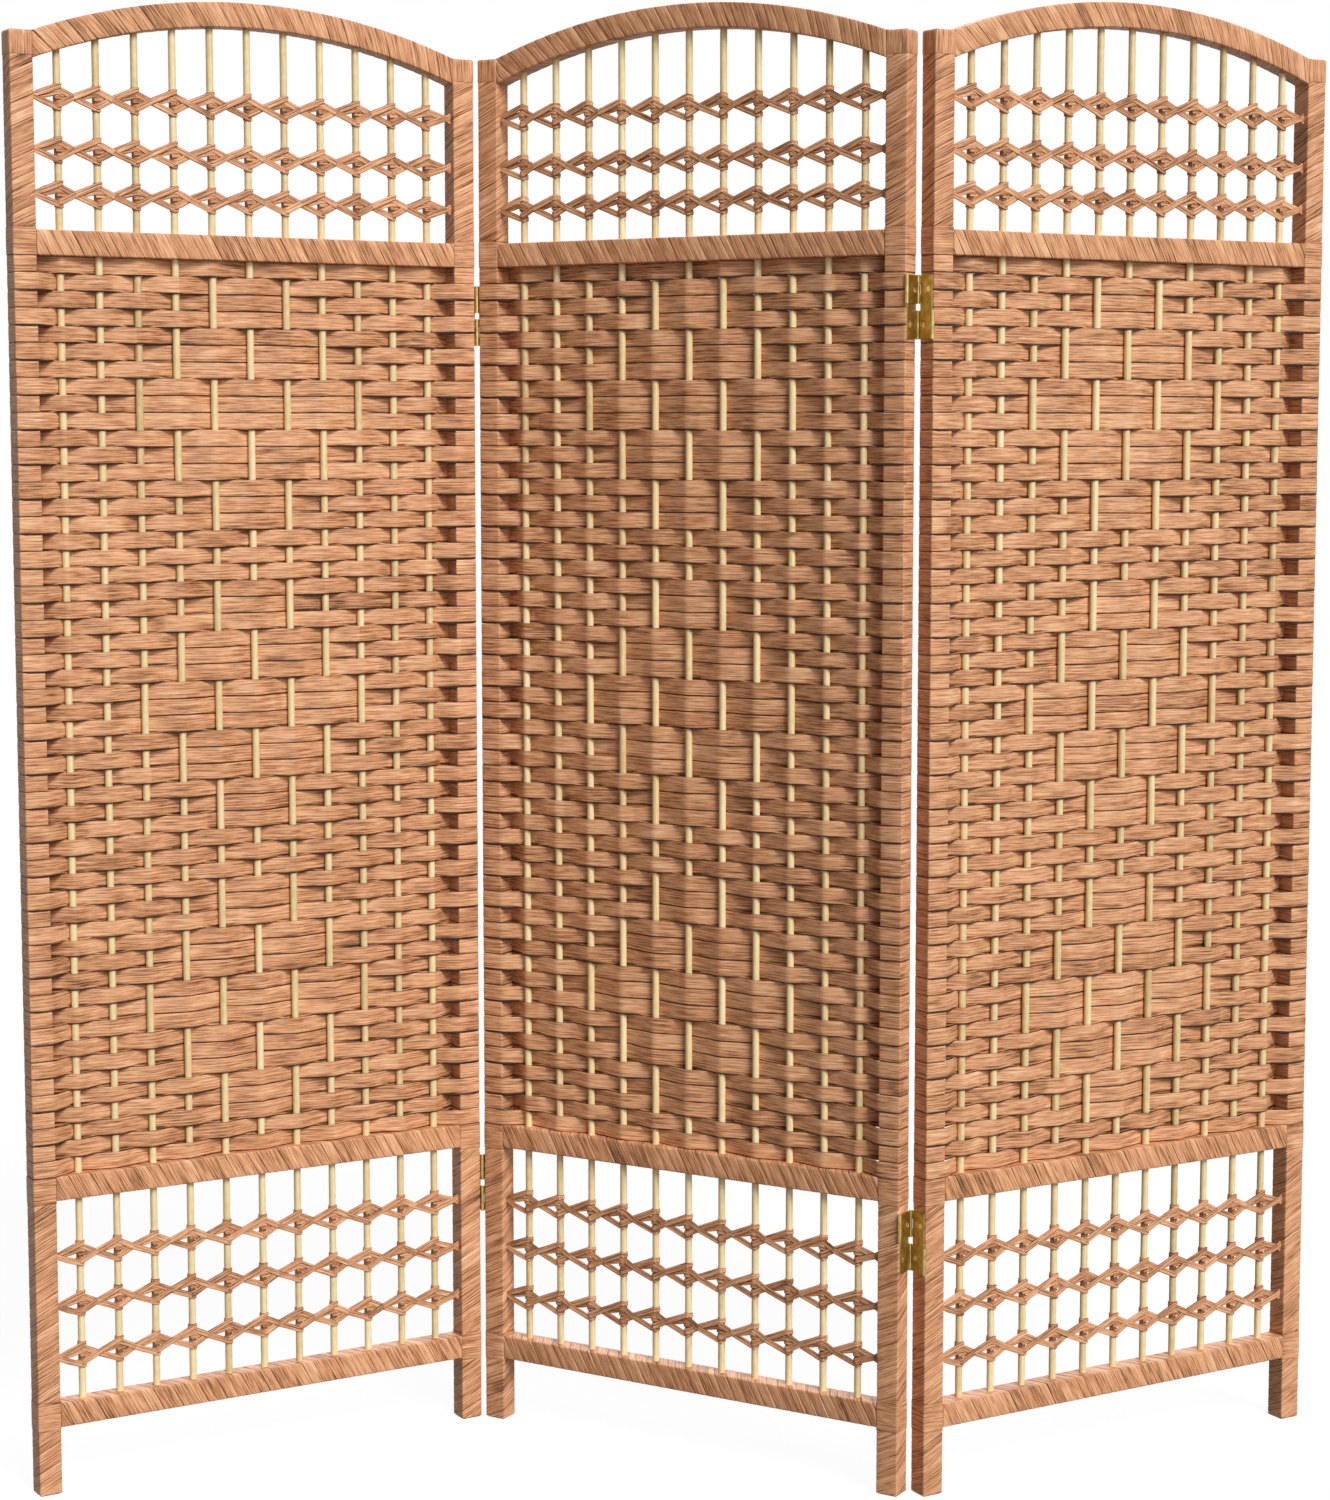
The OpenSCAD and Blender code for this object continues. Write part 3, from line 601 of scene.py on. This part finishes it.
def inner_strands(piece, x, z, x0, x1):
    """The thin strand that fills a knot. It climbs over the rod's front and goes round behind,
    and its end comes back before the rod and runs on to the next crossing."""
    face = [FACE, FACE, (-0.3, -1, 0), FACE, (0.5, -0.8, 0), (1, -0.2, 0), (0.8, 0.6, 0), (0, 1, 0)]
    line = [(x0 + 3.5, 6.2, z + 0.2), (x - 11, 6.2, z + 0.9), (x - 5, 5.8, z + 2.3),
            (x - 1.0, 5.2, z + 3.2), (x + 2.4, 5.7, z + 2.3), (x + 3.8, 8.0, z + 0.9),
            (x + 2.8, 11.4, z - 0.4), (x - 0.5, 12.6, z - 1.2)]
    tone = np.clip(rng.normal(0.45, 0.05), 0.3, 0.6)
    ribbon(piece, line, [3.8, 4.4, 4.4, 4.0, 3.4, 3.2, 3.0, 3.0], STRAND_T, face, tone)
    line = [(x - 2.6, 6.0, z - 0.6), (x - 0.8, 5.45, z - 0.3), (x + 3.0, 5.8, z - 0.1),
            (x + 8.0, 6.1, z), (x1 - 2.5, 6.2, z)]
    ribbon(piece, line, [2.6, 3.4, 3.8, 3.4, 3.0], STRAND_T, FACE, tone - 0.04)


def collar(piece, x, z, half, tone):
    """A turn of strand laid flat round a rod at the tip of a knot."""
    angle = around(20)
    dz = np.array([-1.0, -0.94, -0.7, 0, 0.7, 0.94, 1.0])[:, None] * half
    r = np.array([2.95, 3.4, 3.62, 3.68, 3.62, 3.4, 2.95])[:, None]
    p = np.stack([x + r * np.cos(angle), ROD_Y + r * np.sin(angle), z + dz + 0 * angle], -1)
    centre = np.stack([x + 0 * r, ROD_Y + 0 * r, z + dz], -1)
    place = shuffle()
    uv = np.stack([angle * 0.35 + place[0] + 0 * dz, dz / CM + place[1] + 0 * angle], -1)
    # Painted shade at the collar's upper and lower rims, where it meets the rod and the strands
    edge = 0.35 * (np.abs(dz) > 0.9 * half) + 0 * angle
    piece.grid(p, uv, tone - edge, centre, closed=True)


def shaded_sleeve(piece, x, z):
    """A dark sleeve round a rod behind its knot: painted shade inside the knot, where the rod lies
    in shadow.
    """
    angle = around(16)
    dz = np.array([-8.5, -8.3, 0, 8.3, 8.5])[:, None]
    r = np.array([2.9, 3.12, 3.12, 3.12, 2.9])[:, None]
    p = np.stack([x + r * np.cos(angle), ROD_Y + r * np.sin(angle), z + dz + 0 * angle], -1)
    centre = np.stack([x + 0 * r, ROD_Y + 0 * r, z + dz], -1)
    uv = np.stack([dz / CM + 0 * angle, angle * 0.3 + 0 * dz], -1)
    piece.grid(p, uv, np.full(p.shape[:2], 0.22), centre, closed=True)


def knots(panel, name, heights, sag, material, node):
    """Rows of knots. At each rod one strand turns round it above and one below, and a thin
    strand crosses it between them."""
    piece = Piece()
    left, right = POST_W + 0.1, PANEL_W - POST_W - 0.1
    last = right - LAST_CROSSING
    for z in heights:
        z = z - sag
        for i in range(RODS):
            x = rod_x(i)
            x0 = x - ROD_PITCH + KNOT_LEAD if i else left
            x1 = x + KNOT_LEAD if i < RODS - 1 else last
            for top in (1, -1):
                knot(piece, x, z, x0, x1, top, (top == 1) == (i % 2 == 1), i == 0)
            inner_strands(piece, x, z, x0, x1)
            shaded_sleeve(piece, x, z)
        # The ends go on to the right post
        for top in (1, -1):
            line = [(last - 0.3, 4.6, z), (last + 2.4, 4.9, z + 1.5 * top),
                    (right, 5.3, z + 2.9 * top)]
            ribbon(piece, line, 4.6, 1.0, FACE, 0.5 + 0.04 * top)
    return piece.build(panel + "_" + name, panel, "knot_fibre", material, node)


# Materials


def linear(rgb):
    """A colour of 0 to 255 as the linear values that a node takes."""
    c = [v / 255 for v in rgb]
    c = [v / 12.92 if v <= 0.04045 else ((v + 0.055) / 1.055) ** 2.4 for v in c]
    return (*c, 1.0)


class Shader:
    """Short calls for a material's nodes."""

    def __init__(self, name, **fixed):
        self.material = bpy.data.materials.new(name)
        self.material.use_nodes = True
        self.tree = self.material.node_tree
        self.bsdf = self.tree.nodes["Principled BSDF"]
        for socket, value in fixed.items():
            self.bsdf.inputs[socket.replace("_", " ")].default_value = value

    def node(self, kind, settings=None, **inputs):
        """A node with its inputs set by name, or by number as i0, i1 and so on."""
        n = self.tree.nodes.new("ShaderNode" + kind)
        for key, value in (settings or {}).items():
            setattr(n, key, value)
        for key, value in inputs.items():
            key = int(key[1:]) if key[0] == "i" and key[1:].isdigit() else key.replace("_", " ")
            self.put(n.inputs[key], value)
        return n

    def put(self, socket, value):
        if hasattr(value, "links"):
            self.tree.links.new(value, socket)
        else:
            socket.default_value = value

    def math(self, kind, a, b=0.0, c=0.0):
        return self.node("Math", {"operation": kind}, i0=a, i1=b, i2=c).outputs[0]

    def noise(self, vector, scale, detail=3.0, rough=0.55):
        spread = self.node("VectorMath", {"operation": "MULTIPLY"}, i0=vector, i1=scale)
        n = self.node("TexNoise", {"noise_dimensions": "2D"}, Vector=spread.outputs[0], Scale=1.0,
                      Detail=detail, Roughness=rough)
        return n.outputs[0]

    def ramp(self, factor, stops):
        n = self.node("ValToRGB", Fac=factor)
        e = n.color_ramp.elements
        e[0].position, e[0].color = stops[0][0], linear(stops[0][1])
        e[1].position, e[1].color = stops[-1][0], linear(stops[-1][1])
        for place, colour in stops[1:-1]:
            e.new(place).color = linear(colour)
        return n.outputs[0]


def fibre_material(name, stops, fine, strong, height):
    """Split fibre: fine lines along it, slow changes of tone, and a dull sheen. It takes how fine
    and how strong the lines are, and how high their relief is."""
    s = Shader(name, Specular_IOR_Level=0.35)
    uv = s.node("UVMap", {"uv_map": "fibre"}).outputs[0]
    tone = s.node("Attribute", {"attribute_name": "tone"}).outputs["Fac"]
    streak = s.noise(uv, (0.28, 8.0 * fine, 0), 3, 0.6)
    thread = s.noise(uv, (0.8, 20.0 * fine, 0), 3, 0.6)
    cloud = s.noise(uv, (0.35, 0.9, 0), 2, 0.5)
    split = s.noise(uv, (0.55, 13.0 * fine, 0), 2, 0.5)
    split = s.node("Math", {"operation": "MULTIPLY_ADD", "use_clamp": True}, i0=split, i1=7.0,
                   i2=-4.3).outputs[0]
    value = s.math("MULTIPLY_ADD", streak, 1.5, -0.73)
    value = s.math("ADD", value, s.math("MULTIPLY_ADD", thread, 1.0, -0.48))
    value = s.math("ADD", value, s.math("MULTIPLY_ADD", cloud, 0.5, -0.25))
    value = s.math("MULTIPLY_ADD", split, -0.1, value)
    value = s.math("MULTIPLY", value, strong)
    value = s.math("ADD", value, tone)
    s.put(s.bsdf.inputs["Base Color"], s.ramp(value, stops))
    rough = s.math("MULTIPLY_ADD", streak, 0.25, 0.42)
    s.put(s.bsdf.inputs["Roughness"], rough)
    relief = s.math("ADD", s.math("MULTIPLY", streak, 0.7), s.math("MULTIPLY", thread, 0.4))
    bump = s.node("Bump", Strength=0.8, Distance=height, Height=relief)
    s.put(s.bsdf.inputs["Normal"], bump.outputs[0])
    return s.material


def rod_material():
    """Pale straw-coloured rod with fine grain along it."""
    s = Shader("rod_cane", Specular_IOR_Level=0.45)
    uv = s.node("UVMap", {"uv_map": "fibre"}).outputs[0]
    tone = s.node("Attribute", {"attribute_name": "tone"}).outputs["Fac"]
    grain = s.noise(uv, (0.25, 11.0, 0), 3, 0.6)
    spots = s.noise(uv, (1.4, 1.4, 0), 2, 0.5)
    value = s.math("MULTIPLY_ADD", grain, 0.7, -0.35)
    value = s.math("ADD", value, s.math("MULTIPLY_ADD", spots, 0.3, -0.15))
    value = s.math("ADD", value, tone)
    stops = [(0.1, (200, 170, 116)), (0.5, (242, 217, 164)), (0.9, (255, 240, 196))]
    s.put(s.bsdf.inputs["Base Color"], s.ramp(value, stops))
    s.put(s.bsdf.inputs["Roughness"], s.math("MULTIPLY_ADD", grain, 0.2, 0.35))
    bump = s.node("Bump", Strength=0.5, Distance=0.0001, Height=grain)
    s.put(s.bsdf.inputs["Normal"], bump.outputs[0])
    return s.material


def brass_material(name, stops):
    """Dull brass with brushed lines and spots of tarnish."""
    s = Shader(name, Metallic=1.0)
    place = s.node("TexCoord").outputs["Object"]
    wide = s.node("Mapping", Vector=place, Scale=(900.0, 900.0, 60.0)).outputs[0]
    brushed = s.node("TexNoise", Vector=wide, Scale=1.0, Detail=3.0).outputs[0]
    spots = s.node("TexNoise", Vector=place, Scale=160.0, Detail=4.0).outputs[0]
    value = s.math("ADD", s.math("MULTIPLY", brushed, 0.35), s.math("MULTIPLY", spots, 0.65))
    s.put(s.bsdf.inputs["Base Color"], s.ramp(value, stops))
    s.put(s.bsdf.inputs["Roughness"], s.math("MULTIPLY_ADD", value, -0.3, 0.55))
    bump = s.node("Bump", Strength=0.3, Distance=0.0001, Height=brushed)
    s.put(s.bsdf.inputs["Normal"], bump.outputs[0])
    return s.material


def core_material():
    """Bare softwood of the cores, with grain along the height."""
    s = Shader("core_softwood", Specular_IOR_Level=0.3)
    place = s.node("TexCoord").outputs["Object"]
    grain = s.node("Mapping", Vector=place, Scale=(260.0, 260.0, 12.0)).outputs[0]
    lines = s.node("TexNoise", Vector=grain, Scale=1.0, Detail=3.0).outputs[0]
    stops = [(0.3, (166, 128, 86)), (0.6, (205, 168, 120))]
    s.put(s.bsdf.inputs["Base Color"], s.ramp(lines, stops))
    s.put(s.bsdf.inputs["Roughness"], s.math("MULTIPLY_ADD", lines, 0.2, 0.55))
    return s.material


# Colours by tone
WRAP_STOPS = [(0.0, (80, 47, 26)), (0.28, (162, 110, 72)), (0.5, (212, 150, 107)),
              (0.72, (233, 174, 131)), (1.0, (248, 204, 162))]
STRIP_STOPS = [(0.0, (58, 33, 18)), (0.25, (160, 106, 68)), (0.5, (209, 149, 106)),
               (0.75, (234, 176, 132)), (1.0, (248, 204, 160))]
AGED_STOPS = [(0.3, (146, 122, 66)), (0.5, (182, 155, 94)), (0.7, (214, 190, 132))]
# Pale, nearly white brass for the screw heads: painted highlight standing for their glints
SCREW_GLINT_STOPS = [(0.3, (214, 190, 130)), (0.5, (238, 218, 168)), (0.7, (250, 238, 206))]

wrap_fibre = fibre_material("wound_fibre", WRAP_STOPS, 1.1, 0.9, 0.00022)
weave_fibre = fibre_material("woven_fibre", STRIP_STOPS, 1.0, 0.95, 0.00018)
knot_fibre = fibre_material("knotted_fibre", STRIP_STOPS, 1.4, 1.0, 0.00015)
cane = rod_material()
brass = brass_material("aged_brass", AGED_STOPS)
bright_brass = brass_material("glinting_screw_brass", SCREW_GLINT_STOPS)
softwood = core_material()

for panel in PANELS:
    post_wraps(panel, wrap_fibre)
    rail_wraps(panel, wrap_fibre)
    weave(panel, weave_fibre)
    rods(panel, cane)
    knots(panel, "upper_knots", UPPER_KNOTS, UPPER_SAG, knot_fibre, "upper_lattice")
    knots(panel, "lower_knots", LOWER_KNOTS, 0.0, knot_fibre, "lower_lattice")

# The hinges, and the cores inside the wrapping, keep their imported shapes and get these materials
for name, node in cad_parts.items():
    material = None
    if "_hinge_" in name:
        # The screws take the pale brass, a painted highlight
        material = bright_brass if name.endswith("_screws") else brass
    elif name.endswith(("_post", "_rail", "_dowels")):
        material = softwood
    if material:
        node.data.materials.clear()
        node.data.materials.append(material)


# Floor, light and camera


WHITE = (1, 1, 1, 1)
# The world's light on the object
AMBIENT = 0.17
# The floor's own grey, which takes the shadow, and the white that is added to what is seen of it
FLOOR_GREY, FLOOR_WHITE = 0.1, 0.93
# Half the floor's side, in metres
FLOOR_HALF = 30.0


def seen(tree):
    """One for what the camera, reflections and glass see, and nought for light on the object."""
    path = tree.nodes.new("ShaderNodeLightPath")
    ray = path.outputs["Is Camera Ray"]
    for name in ("Is Glossy Ray", "Is Transmission Ray"):
        both = tree.nodes.new("ShaderNodeMath")
        both.operation = "MAXIMUM"
        tree.links.new(ray, both.inputs[0])
        tree.links.new(path.outputs[name], both.inputs[1])
        ray = both.outputs[0]
    return ray


def light_world():
    """Soft light on the object, and white wherever the world itself is seen."""
    world = bpy.data.worlds.new("studio")
    world.use_nodes = True
    bpy.context.scene.world = world
    tree = world.node_tree
    soft = tree.nodes["Background"]
    soft.inputs["Color"].default_value = WHITE
    soft.inputs["Strength"].default_value = AMBIENT
    white = tree.nodes.new("ShaderNodeBackground")
    white.inputs["Color"].default_value = WHITE
    white.inputs["Strength"].default_value = 1.0
    mix = tree.nodes.new("ShaderNodeMixShader")
    tree.links.new(seen(tree), mix.inputs[0])
    tree.links.new(soft.outputs[0], mix.inputs[1])
    tree.links.new(white.outputs[0], mix.inputs[2])
    tree.links.new(mix.outputs[0], tree.nodes["World Output"].inputs["Surface"])


def floor_material():
    """A pale floor that keeps the object's shadow."""
    paper = bpy.data.materials.new("pale_floor")
    paper.use_nodes = True
    tree = paper.node_tree
    matte = tree.nodes["Principled BSDF"]
    matte.inputs["Base Color"].default_value = (FLOOR_GREY, FLOOR_GREY, FLOOR_GREY, 1)
    matte.inputs["Roughness"].default_value = 0.9
    matte.inputs["Specular IOR Level"].default_value = 0.0
    strength = tree.nodes.new("ShaderNodeMath")
    strength.operation = "MULTIPLY"
    tree.links.new(seen(tree), strength.inputs[0])
    strength.inputs[1].default_value = FLOOR_WHITE
    glow = tree.nodes.new("ShaderNodeEmission")
    glow.inputs["Color"].default_value = WHITE
    tree.links.new(strength.outputs[0], glow.inputs["Strength"])
    add = tree.nodes.new("ShaderNodeAddShader")
    tree.links.new(matte.outputs[0], add.inputs[0])
    tree.links.new(glow.outputs[0], add.inputs[1])
    tree.links.new(add.outputs[0], tree.nodes["Material Output"].inputs["Surface"])
    return paper


def lamp(name, azimuth, elevation, strength, spread):
    """A distant soft lamp. Azimuth 0 is in front, and it grows to the right."""
    data = bpy.data.lights.new(name, "SUN")
    data.energy = strength
    data.angle = math.radians(spread)
    light = bpy.data.objects.new(name, data)
    light.rotation_euler = (math.radians(90 - elevation), 0, math.radians(azimuth))
    bpy.context.scene.collection.objects.link(light)


light_world()

h = FLOOR_HALF
floor_mesh = bpy.data.meshes.new("floor")
floor_mesh.from_pydata([(-h, -h, 0), (h, -h, 0), (h, h, 0), (-h, h, 0)], [], [(0, 1, 2, 3)])
floor_mesh.materials.append(floor_material())
floor = bpy.data.objects.new("floor", floor_mesh)
bpy.context.scene.collection.objects.link(floor)

lamp("key", 34, 38, 2.7, 26)
lamp("fill", 25, 6, 0.8, 40)
# The back lamp is for views from behind
lamp("back", 180, 30, 1.3, 40)

# The camera as solved from the photo: the photo's size, the lens and the point that it looks
# straight at, all in pixels, and how far it is tilted down, in radians
PHOTO_W, PHOTO_H, FOCAL = 1330, 1500, 3024.32
AIM_X, AIM_Y, TILT = 671.88, 733.99, 0.10049
SENSOR = 36

camera_data = bpy.data.cameras.new("camera")
camera_data.lens = FOCAL * SENSOR / PHOTO_H
camera_data.shift_x = (PHOTO_W / 2 - AIM_X) / PHOTO_H
camera_data.shift_y = (AIM_Y - PHOTO_H / 2) / PHOTO_H
camera_data.clip_end = 100
camera = bpy.data.objects.new("camera", camera_data)
camera.location = (-0.01422, -2.52042, 0.87374)
camera.rotation_euler = (math.pi / 2 - TILT, 0, 0)
bpy.context.scene.collection.objects.link(camera)
bpy.context.scene.camera = camera
bpy.context.scene.view_settings.view_transform = "Standard"
